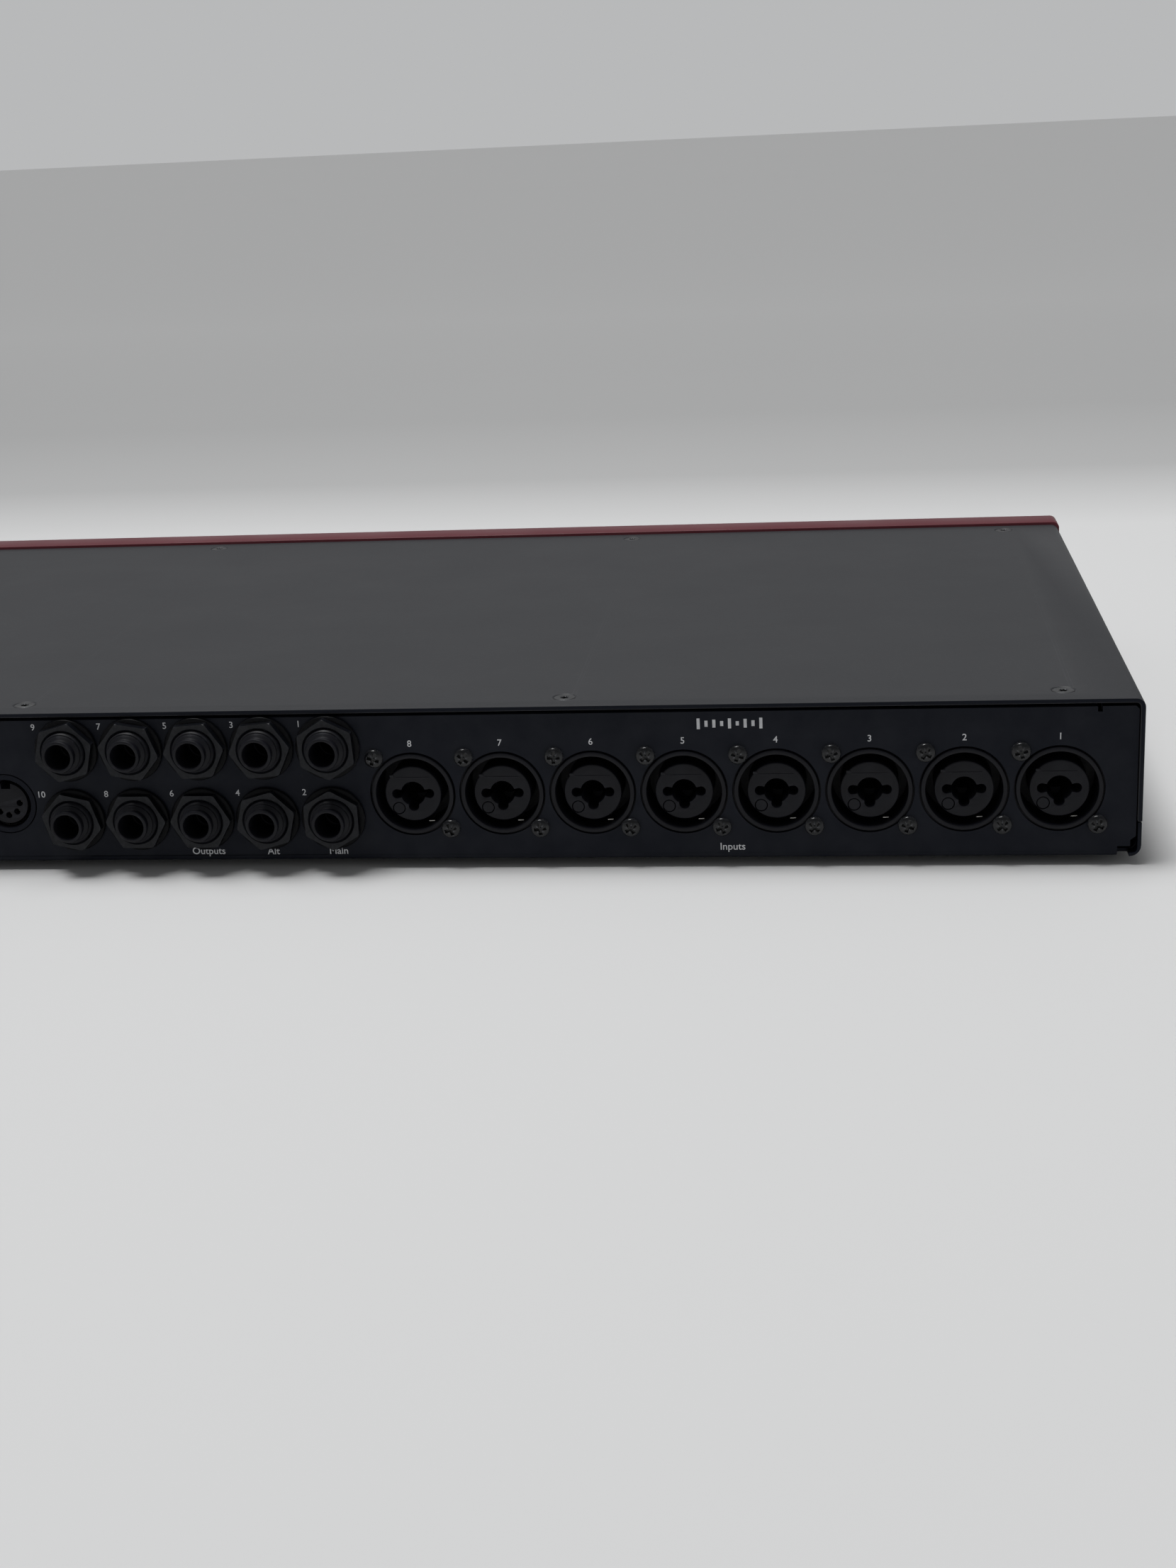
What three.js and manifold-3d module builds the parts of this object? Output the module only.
// Desktop audio interface, one rack unit high, without rack ears: a folded steel tray and cover
// with a deep cast fascia in front, a row of sockets behind, and the boards inside.
// Millimetres. +X is the right-hand side seen from the front, +Y runs to the rear, +Z is up.
// The origin lies on the surface it stands on, under the middle of its outline.

import * as THREE from 'three';
import { mergeVertices } from 'three/addons/utils/BufferGeometryUtils.js';
import Module from 'manifold-3d';

// ---- driving dimensions ----

// case
const bodyWidth = 440;
const bodyHeight = 44; // underside of the tray to the top of the cover
const coverDepth = 245;
const coverSheet = 1.2;
const coverBend = 2.5; // outside radius of the cover's long edges
const traySheet = 1;
const trayBend = 3; // outside radius under the side lips
const trayLip = 9.45; // height of the lips turned up at the sides
const lipGap = 0.6; // open line between lip and cover
const rearBend = 1.6;
const panelRecess = 0.8; // rear panel lies this far inside the cover's edge
const panelTopGap = 1.05;
const fit = 0.3; // working gap between pieces that meet
const screwHead = 3.2; // radius of the cover's countersunk screws
const screwHole = 1.7;
const screwInsetRear = 9.6;
const screwInsetFront = 8;
const screwInsetSide = 20.4;
const rearScrewGaps = [134, 154]; // from the first screw, beside the first input, to the next two
const frontScrewGaps = [137, 159.5];
const flangeWidth = 14; // folded edges that take the cover's screws
const footHeight = 2.5;
const footRadius = 8;
const footInset = 30;
const pegRadius = 2;

// fascia
const fasciaDepth = 14;
const fasciaRise = 1; // it stands proud of the cover
const fasciaLift = 0.6; // and ends above the tray's underside
const fasciaOverhang = 0.5;
const fasciaCorner = 2.4;
const fasciaPlate = 3;
const fasciaRim = 2.5;

// rear sockets, in order from the right-hand edge of the rear panel
const axisHeight = 19.25; // sockets' centre line above the tray's underside
const inputCount = 8;
const inputInset = 21.7;
const inputPitch = 25;
const bezelRadius = 11.4;
const bezelWall = 1.15;
const coreRadius = 7.9;
const plugRadius = 3.3; // quarter-inch plug hole
const socketDepth = 25;
const socketGap = 0.8; // between neighbouring sockets' bodies
const socketHeight = 27;
const bezelProud = 0.25;
const mouthDepth = 12;
const plugDepth = 22;
const slotSpan = 11.6; // across the two side slots of the plug hole
const slotWidth = 2.4;
const slotDepth = 9;
const lowerSlot = 3;
const lowerSlotReach = 5.3;
const columnCount = 5;
const outputGap = 22.8;
const outputPitch = 18.67;
const outputUpper = 13.87;
const outputLower = -6.5;
const bushRadius = 5.9;
const bushReach = 4.4;
const noseRadius = 4.45;
const noseReach = 7.8;
const outputBore = 3.6;
const nutWall = 1.65; // from the bush to the nut's flats
const nutReach = 3.5;
const washerRim = 3.1; // from the bush to the washer's edge
const washerThick = 0.95;
const midiGap = 19.6;
const midiPitch = 21;
const midiHeight = -1.8;
const midiShell = 8.5;
const midiMouth = 7.1;
const midiCore = 5.9;
const coaxGap = 17.5;
const coaxHeights = [7.5, -7.5];
const coaxRadius = 4.2;
const coaxReach = 8.4;
const clockGap = 14;
const clockRadius = 4.8;
const clockReach = 12;
const clockLevel = -4;
const opticalGap = 14;
const opticalSize = 9.6;
const opticalMouth = 5.6;
const opticalHeights = [7.2, -7.2];
const usbGap = 12.5;
const usbWidth = 8.9;
const usbHeight = 3.2;
const usbLevel = -6;
const mainsInset = 23;
const mainsWidth = 27;
const mainsHeight = 20;
const mainsWall = 1.4;
const mainsFlange = 1.6;
const mainsDepth = 18;

// front controls, placed from the middle of the fascia
const controlHeight = 24; // above the surface it stands on
const instrumentAt = [-200, -178];
const phonesJackAt = [152, 187];
const frontBezelRim = 1.1;
const gainAt = -152;
const monitorAt = 70;
const phonesKnobAt = [133, 170];
const smallKnob = 6.5;
const gainKnob = 8;
const monitorKnob = 13;
const knobReach = 13;
const shaftRadius = 3;
const inputButtonsAt = -126;
const monitorButtonsAt = 103;
const buttonPitchX = 12.5;
const buttonPitchZ = 11;
const buttonWidth = 8.6;
const buttonHeight = 5;
const buttonProud = 1.2;
const buttonTravel = 0.8;
const windowAt = -28;
const windowWidth = 136;
const windowHeight = 19;
const switchAt = 207;
const switchWidth = 13;
const switchHeight = 21;
const switchWall = 1.4;
const rockerTilt = 8; // degrees either side of level
const boardThick = 1.6;

// ---- places worked out from them ----

const halfWidth = bodyWidth / 2;
const underside = footHeight;
const coverTop = underside + bodyHeight;
const coverUnder = coverTop - coverSheet;
const coverSkirt = underside + trayLip + lipGap;
const panelTop = coverUnder - panelTopGap;
const floorTop = underside + traySheet;
const axis = underside + axisHeight;
const rearEdge = panelRecess; // y of the cover's rear edge; the rear panel's face is y = 0
const frontEdge = rearEdge - coverDepth;
const fasciaBack = frontEdge - fit;
const fasciaFace = fasciaBack - fasciaDepth;
const plateBack = fasciaFace + fasciaPlate;
const trayFront = frontEdge + fit;
const frontReach = fasciaFace - knobReach;
const rearReach = Math.max(noseReach, coaxReach, clockReach, mainsFlange);
const fasciaBottom = underside + fasciaLift;
const fasciaTop = coverTop + fasciaRise;
const inputX = Array.from({ length: inputCount }, (_, i) => -halfWidth + inputInset + i * inputPitch);
const columnX = Array.from({ length: columnCount }, (_, i) => inputX.at(-1) + outputGap + i * outputPitch);
const midiX = [0, 1].map((i) => columnX.at(-1) + midiGap + i * midiPitch);
const coaxX = midiX[1] + coaxGap;
const clockX = coaxX + clockGap;
const opticalX = clockX + opticalGap;
const usbX = opticalX + usbGap;
const mainsX = halfWidth - mainsInset;
const nutFlats = 2 * (bushRadius + nutWall);
const washerRadius = bushRadius + washerRim;
const frontBezel = bushRadius + frontBezelRim;
const socketWidth = inputPitch - socketGap;
const boardUnder = floorTop + 2.6;
const boardTop = boardUnder + boardThick;
const behindPanel = -traySheet - fit;
const behindFront = trayFront + traySheet + fit;
const frontBoardBack = fasciaBack - fit;
const frontBoardFace = frontBoardBack - boardThick;

// ---- solids ----

const wasm = await Module();
wasm.setup();

function solidOf(geometry) {
  geometry.deleteAttribute('normal');
  geometry.deleteAttribute('uv');
  const merged = mergeVertices(geometry, 1e-5);
  const mesh = new wasm.Mesh({
    numProp: 3,
    vertProperties: new Float32Array(merged.attributes.position.array),
    triVerts: new Uint32Array(merged.index.array),
  });
  mesh.merge();
  return new wasm.Manifold(mesh);
}

function join(first, ...rest) {
  return rest.reduce((whole, piece) => whole.add(piece), first);
}

function cut(whole, ...tools) {
  return tools.reduce((left, tool) => left.subtract(tool), whole);
}

// a box between two corners
function block(x0, x1, y0, y1, z0, z1) {
  const box = new THREE.BoxGeometry(x1 - x0, y1 - y0, z1 - z0);
  box.translate((x0 + x1) / 2, (y0 + y1) / 2, (z0 + z1) / 2);
  return solidOf(box);
}

// a box centred on x and z, between two depths
function bar(x, z, width, height, y0, y1) {
  return block(x - width / 2, x + width / 2, y0, y1, z - height / 2, z + height / 2);
}

// a round bar along Y
function rod(x, z, radius, y0, y1, sides = 16) {
  const cylinder = new THREE.CylinderGeometry(radius, radius, y1 - y0, sides);
  cylinder.translate(x, (y0 + y1) / 2, z);
  return solidOf(cylinder);
}

// a round bar along Z
function post(x, y, radius, z0, z1, sides = 12) {
  const cylinder = new THREE.CylinderGeometry(radius, radius, z1 - z0, sides);
  cylinder.rotateX(Math.PI / 2);
  cylinder.translate(x, y, (z0 + z1) / 2);
  return solidOf(cylinder);
}

// a solid turned about a line along Y; the profile is [radius, y] points, from the rear forwards
function turned(x, z, profile, sides = 20) {
  const points = profile.map(([radius, y]) => new THREE.Vector2(radius, y)).reverse();
  const lathe = new THREE.LatheGeometry(points, sides);
  lathe.translate(x, 0, z);
  return solidOf(lathe);
}

// an outline in X and Z, given thickness between two depths
function plate(shape, y0, y1, curveSegments = 6) {
  const sheet = new THREE.ExtrudeGeometry(shape, { depth: y1 - y0, bevelEnabled: false, curveSegments });
  sheet.rotateX(Math.PI / 2);
  sheet.translate(0, y1, 0);
  return solidOf(sheet);
}

// an outline in Y and Z, given length between two values of x
function rail(shape, x0, x1, curveSegments = 6) {
  const section = new THREE.ExtrudeGeometry(shape, { depth: x1 - x0, bevelEnabled: false, curveSegments });
  const turn = new THREE.Matrix4().makeBasis(
    new THREE.Vector3(0, 1, 0), new THREE.Vector3(0, 0, 1), new THREE.Vector3(1, 0, 0));
  section.applyMatrix4(turn);
  section.translate(x0, 0, 0);
  return solidOf(section);
}

function outline(points) {
  return new THREE.Shape(points.map(([u, v]) => new THREE.Vector2(u, v)));
}

function roundedRectangle(x, z, width, height, radius) {
  const [left, right, low, high] = [x - width / 2, x + width / 2, z - height / 2, z + height / 2];
  const shape = new THREE.Shape();
  shape.moveTo(left + radius, low);
  shape.lineTo(right - radius, low);
  shape.absarc(right - radius, low + radius, radius, -Math.PI / 2, 0);
  shape.absarc(right - radius, high - radius, radius, 0, Math.PI / 2);
  shape.absarc(left + radius, high - radius, radius, Math.PI / 2, Math.PI);
  shape.absarc(left + radius, low + radius, radius, Math.PI, Math.PI * 1.5);
  return shape;
}

// ---- the assembly ----

const audioInterface = new THREE.Group();
audioInterface.position.y = -(frontReach + rearReach) / 2;

const finishes = {
  coverPaint: [0x46474a, 0.6, 0.3],
  trayPaint: [0x1a1c20, 0.55, 0.3],
  redPaint: [0x8c1a20, 0.4, 0.5],
  blackPlastic: [0x17181c, 0.5, 0],
  knobPlastic: [0x1b1c1f, 0.45, 0],
  nutMetal: [0x101216, 0.35, 0.8],
  brightMetal: [0xb9bcc0, 0.3, 1],
  smokedWindow: [0x0a0b0d, 0.1, 0],
  rubber: [0x141414, 0.9, 0],
  board: [0x12402a, 0.6, 0],
};

function place(name, solid, finish) {
  const { vertProperties, triVerts } = solid.getMesh();
  const geometry = new THREE.BufferGeometry();
  geometry.setAttribute('position', new THREE.BufferAttribute(new Float32Array(vertProperties), 3));
  geometry.setIndex(new THREE.BufferAttribute(new Uint32Array(triVerts), 1));
  const [color, roughness, metalness] = finishes[finish];
  const mesh = new THREE.Mesh(geometry, new THREE.MeshStandardMaterial({ color, roughness, metalness }));
  mesh.name = name;
  audioInterface.add(mesh);
}

const screwRow = (y, [near, far]) => {
  const first = -halfWidth + screwInsetSide;
  return [first, first + near, first + near + far, -first].map((x) => [x, y]);
};
const rearScrews = screwRow(rearEdge - screwInsetRear, rearScrewGaps);
const frontScrews = screwRow(frontEdge + screwInsetFront, frontScrewGaps);
const footX = [-1, 1].map((side) => side * (halfWidth - footInset));
const footY = [rearEdge - footInset, frontEdge + footInset];

// ---- top cover ----

function coverSection() {
  const inner = coverBend - coverSheet;
  const [wide, high] = [halfWidth - coverBend, coverTop - coverBend];
  const shape = new THREE.Shape();
  shape.moveTo(halfWidth, coverSkirt);
  shape.absarc(wide, high, coverBend, 0, Math.PI / 2);
  shape.absarc(-wide, high, coverBend, Math.PI / 2, Math.PI);
  shape.lineTo(-halfWidth, coverSkirt);
  shape.lineTo(-halfWidth + coverSheet, coverSkirt);
  shape.absarc(-wide, high, inner, Math.PI, Math.PI / 2, true);
  shape.absarc(wide, high, inner, Math.PI / 2, 0, true);
  shape.lineTo(halfWidth - coverSheet, coverSkirt);
  return shape;
}

const ventCount = 10;
const ventPitch = 8;
const ventWidth = 3;
const ventHeight = 15;
const ventLift = 7; // above the cover's lower edge

function topCover() {
  const sheet = plate(coverSection(), frontEdge, rearEdge, 3);
  const middle = (frontEdge + rearEdge) / 2;
  const first = middle - ((ventCount - 1) * ventPitch) / 2;
  const vents = Array.from({ length: ventCount }, (_, i) => {
    const y = first + i * ventPitch;
    const low = coverSkirt + ventLift;
    return block(-halfWidth - 1, halfWidth + 1, y - ventWidth / 2, y + ventWidth / 2, low, low + ventHeight);
  });
  const sinks = [...rearScrews, ...frontScrews].map(([x, y]) => {
    const cone = new THREE.CylinderGeometry(screwHead + 0.1, screwHole, coverSheet + 0.2, 12);
    cone.rotateX(Math.PI / 2);
    cone.translate(x, y, coverTop - coverSheet / 2);
    return solidOf(cone);
  });
  return cut(sheet, ...vents, ...sinks);
}

// ---- chassis tray ----

function traySection() {
  const inner = trayBend - traySheet;
  const lipTop = underside + trayLip;
  const [wide, low] = [halfWidth - trayBend, underside + trayBend];
  const shape = new THREE.Shape();
  shape.moveTo(-wide, underside);
  shape.absarc(wide, low, trayBend, -Math.PI / 2, 0);
  shape.lineTo(halfWidth, lipTop);
  shape.lineTo(halfWidth - traySheet, lipTop);
  shape.absarc(wide, low, inner, 0, -Math.PI / 2, true);
  shape.absarc(-wide, low, inner, -Math.PI / 2, -Math.PI, true);
  shape.lineTo(-halfWidth + traySheet, lipTop);
  shape.lineTo(-halfWidth, lipTop);
  shape.absarc(-wide, low, trayBend, Math.PI, Math.PI * 1.5);
  return shape;
}

const foldInset = 6.3; // the folded strip ends this far from the sides
const stepInset = 2.9;
const stepHeights = [2.9, 4.7];
const topFlangeInset = 12.2;
const foldReach = 4; // how far the corner relief runs in from the rear
const panelInset = coverSheet + fit;

// the rear panel's outline, with stair-stepped lower corners and a slit beside each end of its top flange
function rearPanelOutline() {
  const slit = 1.2;
  const slitDepth = 1.5;
  const half = [
    [halfWidth - foldInset, underside + rearBend],
    [halfWidth - foldInset, underside + stepHeights[0]],
    [halfWidth - stepInset, underside + stepHeights[0]],
    [halfWidth - stepInset, underside + stepHeights[1]],
    [halfWidth - panelInset, underside + stepHeights[1] + 1],
    [halfWidth - panelInset, panelTop],
    [halfWidth - topFlangeInset + slit, panelTop],
    [halfWidth - topFlangeInset + slit, panelTop - slitDepth],
    [halfWidth - topFlangeInset, panelTop - slitDepth],
    [halfWidth - topFlangeInset, panelTop],
  ];
  return outline([...half, ...half.map(([x, z]) => [-x, z]).reverse()]);
}

// the rounded fold between the tray's floor and its rear panel
function rearFold() {
  const shape = new THREE.Shape();
  shape.moveTo(-foldReach - fit, underside);
  shape.absarc(-rearBend, underside + rearBend, rearBend, -Math.PI / 2, 0);
  shape.lineTo(0, underside + rearBend + fit);
  shape.lineTo(-traySheet, underside + rearBend + fit);
  shape.absarc(-rearBend, underside + rearBend, rearBend - traySheet, 0, -Math.PI / 2, true);
  shape.lineTo(-foldReach - fit, floorTop);
  return rail(shape, -halfWidth + foldInset, halfWidth - foldInset);
}

// an edge folded inwards under the cover, with a hole for each of that row's screws
function topFlange(y0, y1, screws) {
  const inset = topFlangeInset;
  const flange = block(-halfWidth + inset, halfWidth - inset, y0, y1, panelTop - traySheet, panelTop);
  return cut(flange,
    ...screws.map(([x, y]) => post(x, y, screwHole - fit, panelTop - 3, panelTop + 1, 6)));
}

function rearOpenings() {
  const through = (x, z, radius, sides) => rod(x, z, radius, -traySheet - 1, 1, sides);
  const inputs = inputX.map((x) => through(x, axis, bezelRadius + 2 * fit, 20));
  const outputs = columnX.flatMap((x) => [outputUpper, outputLower].map(
    (z) => through(x, axis + z, bushRadius + fit, 12)));
  const midi = midiX.map((x) => through(x, axis + midiHeight, midiShell + fit, 16));
  const coax = coaxHeights.map((z) => through(coaxX, axis + z, coaxRadius + fit, 12));
  const optical = opticalHeights.map(
    (z) => bar(opticalX, axis + z, opticalSize + 2 * fit, opticalSize + 2 * fit, -traySheet - 1, 1));
  const usb = bar(usbX, axis + usbLevel, usbWidth + 2 * fit, usbHeight + 2 * fit, -traySheet - 1, 1);
  const mains = bar(mainsX, axis, mainsWidth + 2 * fit, mainsHeight + 2 * fit, -traySheet - 1, 1);
  const clock = through(clockX, axis + clockLevel, clockRadius + fit, 12);
  return [...inputs, ...outputs, ...midi, ...coax, ...optical, usb, mains, clock];
}

const standoffRadius = 3;
const standoffX = [-1, 0, 1].map((side) => side * (halfWidth - 50));
const standoffY = [-34, -122];

function chassisTray() {
  const section = traySection();
  const floor = plate(section, trayFront, -foldReach, 3);
  const corners = cut(
    plate(section, -foldReach - fit, 0, 3),
    block(-halfWidth + trayBend + 0.2, halfWidth - trayBend - 0.2, -foldReach, 1, 0, coverTop));
  const rearPanel = cut(plate(rearPanelOutline(), -traySheet, 0), ...rearOpenings());
  const inner = halfWidth - foldInset;
  const frontPanel = cut(
    block(-inner, inner, trayFront, trayFront + traySheet, underside, panelTop),
    ...[...instrumentAt, ...phonesJackAt].map(
      (x) => rod(x, controlHeight, bushRadius + fit, trayFront - 1, trayFront + 2, 12)),
    bar(switchAt, controlHeight, switchWidth - 1, switchHeight - 1, trayFront - 1, trayFront + 2),
    bar(windowAt, controlHeight, windowWidth / 2, windowHeight / 2, trayFront - 1, trayFront + 2));
  const standoffs = standoffX.flatMap((x) => standoffY.map(
    (y) => post(x, y, standoffRadius, floorTop - fit, boardUnder - fit, 6)));
  const pegHoles = footX.flatMap((x) => footY.map((y) => post(x, y, pegRadius + fit, 0, 8, 8)));
  return cut(
    join(floor, corners, rearFold(), rearPanel, frontPanel, ...standoffs,
      topFlange(-flangeWidth, 0, rearScrews),
      topFlange(trayFront, trayFront + flangeWidth, frontScrews)),
    ...pegHoles);
}

// a rubber foot with a peg through the tray's floor
function foot(x, y) {
  const pad = post(x, y, footRadius, 0, footHeight - fit, 16);
  return join(pad, post(x, y, pegRadius, footHeight - 1, floorTop + 2, 8));
}

// ---- rear sockets ----

// combination socket: a round three-pin mouth around a quarter-inch plug hole
function comboSocket(x) {
  const mouth = bezelRadius - bezelWall;
  const body = join(
    bar(x, axis, socketWidth, socketHeight, behindPanel - socketDepth, behindPanel),
    rod(x, axis, bezelRadius, behindPanel - 1, bezelProud, 20));
  const groove = cut(
    rod(x, axis, mouth, -mouthDepth, 1, 20), rod(x, axis, coreRadius, -mouthDepth - 1, 2, 20));
  const slots = [
    bar(x, axis, slotSpan, slotWidth, -slotDepth, 1),
    block(x - lowerSlot / 2, x + lowerSlot / 2, -slotDepth, 1, axis - lowerSlotReach, axis),
  ];
  return cut(body, groove, rod(x, axis, plugRadius, -plugDepth, 1, 14), ...slots);
}

// two output jacks, one above the other in one housing
const jackHousing = { width: 16, depth: 26, below: 7, above: 6.8 };

function outputJackPair(x) {
  const heights = [outputUpper, outputLower].map((z) => axis + z);
  const side = jackHousing.width / 2;
  const housing = block(x - side, x + side, behindPanel - jackHousing.depth, behindPanel,
    heights[1] - jackHousing.below, heights[0] + jackHousing.above);
  const barrels = heights.map((z) => turned(x, z, [
    [0, noseReach], [noseRadius, noseReach], [noseRadius, bushReach], [bushRadius, bushReach],
    [bushRadius, behindPanel - 1], [0, behindPanel - 1],
  ], 12));
  const bores = heights.map((z) => rod(x, z, outputBore, -plugDepth, noseReach + 1, 12));
  return cut(join(housing, ...barrels), ...bores);
}

// hexagon nut with its washer, turned by hand to wherever it tightened
function outputNut(x, z, turn) {
  const sides = 6;
  const across = nutFlats / Math.cos(Math.PI / sides) / 2;
  const hexagon = new THREE.CylinderGeometry(across, across, nutReach - washerThick - fit, sides);
  hexagon.rotateY(THREE.MathUtils.degToRad(turn));
  hexagon.translate(x, (nutReach + washerThick + fit) / 2, z);
  const washer = rod(x, z, washerRadius, fit, washerThick + fit, 16);
  return cut(join(solidOf(hexagon), washer), rod(x, z, bushRadius + fit, 0, nutReach + 1, 12));
}

// five-pin round socket
const midiBody = { width: 19.5, height: 20, depth: 13, proud: 0.5, mouthDepth: 9, key: 2.4 };

function midiSocket(x) {
  const z = axis + midiHeight;
  const { width, height, depth, proud, mouthDepth: mouth, key: keyWidth } = midiBody;
  const body = join(
    bar(x, z, width, height, behindPanel - depth, behindPanel),
    rod(x, z, midiShell, behindPanel - 1, proud, 16));
  const groove = cut(rod(x, z, midiMouth, -mouth, 1, 16), rod(x, z, midiCore, -mouth - 1, 2, 16));
  const key = bar(x, z + midiCore, keyWidth, keyWidth, -mouth, 1);
  return cut(body, groove, key);
}

// digital coaxial sockets, out above in
const coaxBody = { width: 10.5, height: 27, depth: 12, bore: 1.7, boreDepth: 4 };

function coaxSocketPair() {
  const { width, height, depth, bore, boreDepth } = coaxBody;
  const housing = bar(coaxX, axis, width, height, behindPanel - depth, behindPanel);
  const barrels = coaxHeights.map((z) => rod(coaxX, axis + z, coaxRadius, behindPanel - 1, coaxReach, 12));
  const bores = coaxHeights.map((z) => rod(coaxX, axis + z, bore, -boreDepth, coaxReach + 1, 8));
  return cut(join(housing, ...barrels), ...bores);
}

// bayonet socket for the word clock, with a lug on each side
const clockBody = { size: 13, depth: 14, wall: 0.8, mouthDepth: 6, pin: 1.2, pinBack: 6 };
const clockLug = { reach: 0.9, thick: 1.6, back: 5 };

function wordClockSocket() {
  const z = axis + clockLevel;
  const { size, depth, wall, mouthDepth: mouthEnd, pin, pinBack } = clockBody;
  const lugEnd = clockReach - clockLug.back;
  const body = join(
    bar(clockX, z, size, size, behindPanel - depth, behindPanel),
    rod(clockX, z, clockRadius, behindPanel - 1, clockReach, 14),
    bar(clockX, z, 2 * (clockRadius + clockLug.reach), clockLug.thick, lugEnd, lugEnd + clockLug.thick));
  const mouth = cut(
    rod(clockX, z, clockRadius - wall, -mouthEnd, clockReach + 1, 14),
    rod(clockX, z, pin, -mouthEnd - 2, clockReach - pinBack, 6));
  return cut(body, mouth);
}

const opticalBody = { width: 12.6, height: 13.4, depth: 12, proud: 0.4, mouthWider: 1.6, mouthDepth: 9 };

function opticalPort(z) {
  const { width, height, depth, proud, mouthWider, mouthDepth: mouth } = opticalBody;
  const body = join(
    bar(opticalX, axis + z, width, height, behindPanel - depth, behindPanel),
    bar(opticalX, axis + z, opticalSize, opticalSize, behindPanel - 1, proud));
  return cut(body, bar(opticalX, axis + z, opticalMouth + mouthWider, opticalMouth, -mouth, 1));
}

const usbShell = { corner: 1.5, wall: 0.35, depth: 9, mouthDepth: 7 };
const usbTongue = { inset: 1.2, thick: 0.8, back: 0.9 };

function usbPort() {
  const z = axis + usbLevel;
  const { corner, wall, depth, mouthDepth: mouthEnd } = usbShell;
  const inner = [usbWidth - 2 * wall, usbHeight - 2 * wall, corner - wall];
  const shell = plate(roundedRectangle(usbX, z, usbWidth, usbHeight, corner), -depth, fit, 2);
  const mouth = plate(roundedRectangle(usbX, z, ...inner), -mouthEnd, 1, 2);
  const tongue = bar(
    usbX, z, usbWidth - 2 * usbTongue.inset, usbTongue.thick, -mouthEnd - 1, -usbTongue.back);
  return join(cut(shell, mouth), tongue);
}

const mainsRim = { wider: 2, corner: 2.5 };
const mainsPins = { width: 2, height: 4, back: 4, places: [[-7, -2], [7, -2], [0, 2]] };

function mainsInlet() {
  const corner = 4.5; // cut off each upper corner of the mouth
  const rim = [mainsWidth + 2 * mainsRim.wider, mainsHeight + 2 * mainsRim.wider, mainsRim.corner];
  const [w, h] = [mainsWidth / 2 - mainsWall, mainsHeight / 2 - mainsWall];
  const cavity = outline([
    [mainsX - w, axis - h], [mainsX + w, axis - h], [mainsX + w, axis + h - corner],
    [mainsX + w - corner, axis + h], [mainsX - w + corner, axis + h], [mainsX - w, axis + h - corner],
  ]);
  const body = join(
    plate(roundedRectangle(mainsX, axis, ...rim), fit, mainsFlange, 2),
    bar(mainsX, axis, mainsWidth, mainsHeight, -mainsDepth, 1));
  const pins = mainsPins.places.map(([x, z]) => bar(
    mainsX + x, axis + z, mainsPins.width, mainsPins.height, -mainsDepth, -mainsPins.back));
  return join(cut(body, plate(cavity, -mainsDepth + 2, mainsFlange + 1)), ...pins);
}

// ---- front ----

const panelButtons = [
  ['phantom_button', inputButtonsAt, 1], ['instrument_button', inputButtonsAt + buttonPitchX, 1],
  ['pad_button', inputButtonsAt, 0], ['auto_gain_button', inputButtonsAt + buttonPitchX, 0],
  ['dim_button', monitorButtonsAt, 1], ['mute_button', monitorButtonsAt + buttonPitchX, 1],
  ['alt_button', monitorButtonsAt, 0], ['talkback_button', monitorButtonsAt + buttonPitchX, 0],
].map(([name, x, row]) => ({ name, x, z: controlHeight + (row - 0.5) * buttonPitchZ }));

const knobs = [
  ['gain_knob', gainAt, gainKnob], ['monitor_knob', monitorAt, monitorKnob],
  ['phones_knob_1', phonesKnobAt[0], smallKnob], ['phones_knob_2', phonesKnobAt[1], smallKnob],
];

function frontFascia() {
  const width = bodyWidth + 2 * fasciaOverhang;
  const height = fasciaTop - fasciaBottom;
  const middle = (fasciaTop + fasciaBottom) / 2;
  const rim = fasciaRim * 2;
  const shell = cut(
    plate(roundedRectangle(0, middle, width, height, fasciaCorner), fasciaFace, fasciaBack, 3),
    plate(roundedRectangle(0, middle, width - rim, height - rim, 1), plateBack, fasciaBack + 1, 1));
  const through = [fasciaFace - 1, plateBack + 1];
  return cut(shell,
    ...[...instrumentAt, ...phonesJackAt].map(
      (x) => rod(x, controlHeight, bushRadius + fit, ...through, 12)),
    ...knobs.map(([, x]) => rod(x, controlHeight, shaftRadius + fit, ...through, 10)),
    ...panelButtons.map(({ x, z }) => bar(x, z, buttonWidth + 2 * fit, buttonHeight + 2 * fit, ...through)),
    bar(windowAt, controlHeight, windowWidth + 2 * fit, windowHeight + 2 * fit, ...through),
    bar(switchAt, controlHeight, switchWidth - 1.2, switchHeight - 1.2, ...through));
}

// quarter-inch jack whose long bush comes through the fascia
const frontJackBody = { width: 15, height: 16, depth: 27, boreDepth: 20, bezelProud: 1.2 };

function frontJack(x) {
  const { width, height, depth, boreDepth, bezelProud: proud } = frontJackBody;
  const bezel = rod(x, controlHeight, frontBezel, fasciaFace - proud, fasciaFace - fit, 16);
  const bush = rod(x, controlHeight, bushRadius, fasciaFace - 1, behindFront + 1, 12);
  const housing = bar(x, controlHeight, width, height, behindFront, behindFront + depth);
  const bore = rod(x, controlHeight, plugRadius, fasciaFace - 2, behindFront + boreDepth, 14);
  return cut(join(bezel, bush, housing), bore);
}

const encoderDepth = 6.5;
const encoderFace = frontBoardFace - encoderDepth;

const knobGap = 0.6; // between knob and fascia
const knobEdge = 1.2;
const pointerLine = { width: 1, depth: 0.6, start: 0.45 }; // it starts at this share of the knob's radius

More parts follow.
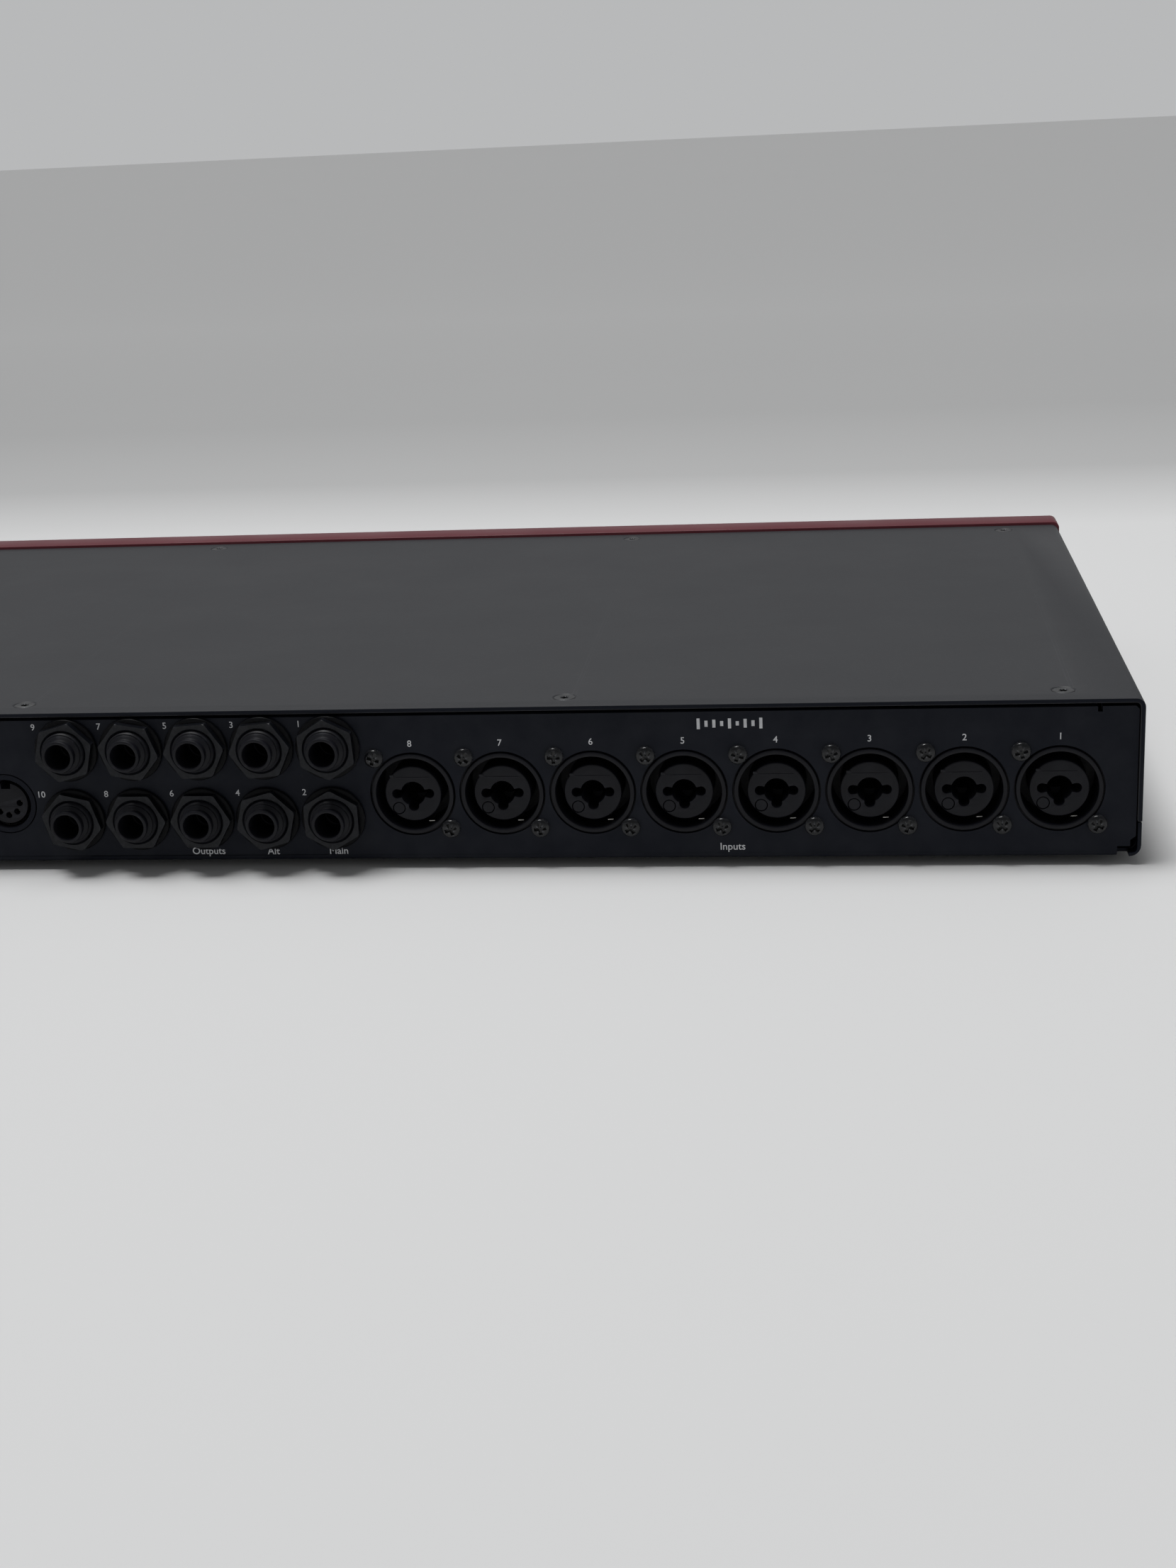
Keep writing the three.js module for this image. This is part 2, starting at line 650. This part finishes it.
function knob(x, radius) {
  const seat = fasciaFace - knobGap;
  const cap = turned(x, controlHeight, [
    [0, seat], [radius, seat], [radius, frontReach + knobEdge],
    [radius - knobEdge, frontReach], [0, frontReach],
  ], 20);
  const pointer = block(x - pointerLine.width / 2, x + pointerLine.width / 2,
    frontReach - 1, frontReach + pointerLine.depth,
    controlHeight + radius * pointerLine.start, controlHeight + radius + 1);
  return join(cut(cap, pointer), rod(x, controlHeight, shaftRadius, seat - 1, encoderFace - fit, 10));
}

const keyDepth = 3.5;
const keyFace = frontBoardFace - keyDepth;
const buttonLip = { wider: 1.4, thick: 0.6 }; // it keeps the button from falling out in front
const buttonStem = 2.4;

function pushButton({ x, z }) {
  const lip = plateBack + buttonTravel / 4 + fit;
  const { wider, thick } = buttonLip;
  return join(
    bar(x, z, buttonWidth, buttonHeight, fasciaFace - buttonProud, lip + thick),
    bar(x, z, buttonWidth + wider, buttonHeight + wider, plateBack + fit, lip + thick),
    bar(x, z, buttonStem, buttonStem, lip, keyFace - fit - buttonTravel));
}

const switchBody = { frameProud: 1.4, narrower: 1.8, behindTray: 10 };

function switchHousing() {
  const { frameProud, narrower, behindTray } = switchBody;
  const frame = bar(
    switchAt, controlHeight, switchWidth, switchHeight, fasciaFace - frameProud, fasciaFace - fit);
  const body = bar(switchAt, controlHeight, switchWidth - narrower, switchHeight - narrower,
    fasciaFace - 1, trayFront + behindTray);
  const cavity = bar(switchAt, controlHeight, switchWidth - 2 * switchWall, switchHeight - 2 * switchWall,
    fasciaFace - 3, fasciaFace + 9);
  return cut(join(frame, body), cavity);
}

const rockerAxis = fasciaFace + 1.2;

// the rocker rests with its lower half pressed in, which is off
function powerRocker() {
  const half = switchHeight / 2 - switchWall - 0.9;
  const width = switchWidth - 2 * switchWall - 2 * fit;
  const paddle = new THREE.Shape();
  paddle.moveTo(-3.4, -half);
  paddle.lineTo(1.6, 0.4 - half);
  paddle.quadraticCurveTo(6, 0, 1.6, half - 0.4);
  paddle.lineTo(-3.4, half);
  paddle.quadraticCurveTo(-0.6, 0, -3.4, -half);
  const solid = rail(paddle, switchAt - width / 2, switchAt + width / 2, 6);
  return solid.rotate([rockerTilt, 0, 0]).translate([0, rockerAxis, controlHeight]);
}

function meterWindow() {
  return bar(windowAt, controlHeight, windowWidth, windowHeight, fasciaFace + 0.4, plateBack);
}

// ---- boards ----

function mainBoard() {
  const [left, right] = [-halfWidth + 12, usbX + 8];
  const plateOfBoard = block(left, right, -135, -4, boardUnder, boardTop);
  const parts = [
    [-150, -80, 34, 30, 3], [-90, -95, 26, 26, 3], [-20, -80, 30, 30, 4], [60, -90, 22, 22, 3],
    [110, -75, 16, 24, 12], [-190, -110, 12, 20, 10], [20, -120, 40, 10, 8],
  ];
  return join(plateOfBoard, ...parts.map(([x, y, w, d, h]) =>
    block(x - w / 2, x + w / 2, y - d / 2, y + d / 2, boardTop - 0.2, boardTop + h)));
}

function supplyBoard() {
  const right = halfWidth - 12;
  const [front, rear] = [trayFront + 40, trayFront + 100];
  const middle = (front + rear) / 2;
  return join(
    block(right - 96, right, front, rear, boardUnder, boardTop),
    block(right - 60, right - 28, middle - 15, middle + 15, boardTop - 0.2, boardTop + 26),
    post(right - 80, middle + 12, 7, boardTop - 0.2, boardTop + 24),
    post(right - 80, middle - 12, 7, boardTop - 0.2, boardTop + 24),
    block(right - 18, right - 12, front + 6, rear - 6, boardTop - 0.2, boardTop + 22));
}

// upright board inside the fascia: it carries the encoders, the keys and the meter
function frontBoard() {
  const [low, high] = [fasciaBottom + fasciaRim + 1.5, fasciaTop - fasciaRim - 1.5];
  const strip = (x0, x1, z0, z1) => block(x0, x1, frontBoardFace, frontBoardBack, z0, z1);
  const board = join(
    strip(gainAt - 13, phonesKnobAt[0] + 9, low, high),
    strip(phonesKnobAt[0], phonesKnobAt[1] + 8, low, low + 6),
    strip(phonesKnobAt[1] - 8.5, phonesKnobAt[1] + 8, low, high));
  const encoders = knobs.map(([, x]) => bar(x, controlHeight, 12, 12, encoderFace, frontBoardFace + 0.2));
  const keys = panelButtons.map(({ x, z }) => bar(x, z, 6, 6, keyFace, frontBoardFace + 0.2));
  const meter = bar(windowAt, controlHeight, windowWidth - 4, windowHeight - 4,
    plateBack + 2, frontBoardFace + 0.2);
  return join(board, ...encoders, ...keys, meter);
}

// ---- every piece in its place ----

place('chassis_tray', chassisTray(), 'trayPaint');
place('top_cover', topCover(), 'coverPaint');
place('front_fascia', frontFascia(), 'redPaint');
footX.forEach((x, i) => footY.forEach((y, j) => place(`foot_${2 * i + j + 1}`, foot(x, y), 'rubber')));
inputX.forEach((x, i) => place(`combo_socket_${i + 1}`, comboSocket(x), 'blackPlastic'));
const nutTurns = [4, 22, 10, 37, 12, 25, 31, 2, 12, 33];
columnX.forEach((x, i) => {
  place(`output_jack_pair_${i + 1}`, outputJackPair(x), 'blackPlastic');
  [outputUpper, outputLower].forEach((z, row) => {
    const number = 2 * i + row + 1;
    place(`output_nut_${number}`, outputNut(x, axis + z, nutTurns[number - 1]), 'nutMetal');
  });
});
midiX.forEach((x, i) => place(`midi_socket_${i + 1}`, midiSocket(x), 'blackPlastic'));
place('coax_socket_pair', coaxSocketPair(), 'brightMetal');
place('word_clock_socket', wordClockSocket(), 'brightMetal');
opticalHeights.forEach((z, i) => place(`optical_port_${i + 1}`, opticalPort(z), 'blackPlastic'));
place('usb_port', usbPort(), 'brightMetal');
place('mains_inlet', mainsInlet(), 'blackPlastic');
instrumentAt.forEach((x, i) => place(`instrument_jack_${i + 1}`, frontJack(x), 'blackPlastic'));
phonesJackAt.forEach((x, i) => place(`phones_jack_${i + 1}`, frontJack(x), 'blackPlastic'));
knobs.forEach(([name, x, radius]) => place(name, knob(x, radius), 'knobPlastic'));
panelButtons.forEach((button) => place(button.name, pushButton(button), 'knobPlastic'));
place('meter_window', meterWindow(), 'smokedWindow');
place('switch_housing', switchHousing(), 'blackPlastic');
place('power_rocker', powerRocker(), 'blackPlastic');
place('main_board', mainBoard(), 'board');
place('supply_board', supplyBoard(), 'board');
place('front_board', frontBoard(), 'board');

export default audioInterface;
